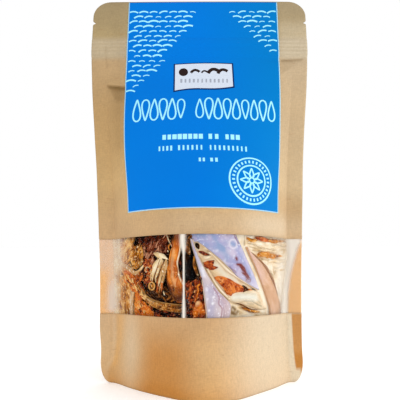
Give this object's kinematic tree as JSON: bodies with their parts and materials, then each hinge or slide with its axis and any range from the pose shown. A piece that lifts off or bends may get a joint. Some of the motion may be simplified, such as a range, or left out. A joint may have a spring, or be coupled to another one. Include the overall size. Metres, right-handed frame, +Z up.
{
  "type": "stand-up pouch of dried anchovies",
  "caption": "Filled stand-up kraft paper pouch with a zip, a wide label and a clear window band that shows the dried fish inside.",
  "frame": {"origin": "on the surface that the pouch stands on, under the middle of its box", "axes": "+Z up; the front with the window and the label faces -Y; +X to the right seen from the front"},
  "size_m": [0.13, 0.0644, 0.224],
  "materials": {
    "kraft_paper": "matt kraft paper with fine fibres",
    "clear_film": "thin clear glossy film",
    "dried_fish": "dried fish skin, silvery lilac to orange brown",
    "label_paper": "smooth blue printed label, satin"
  },
  "bodies": {
    "root": {"pouch": "kraft_paper", "window_film": "clear_film", "dried_anchovies": "dried_fish", "label": "label_paper"}
  },
  "joints": []
}
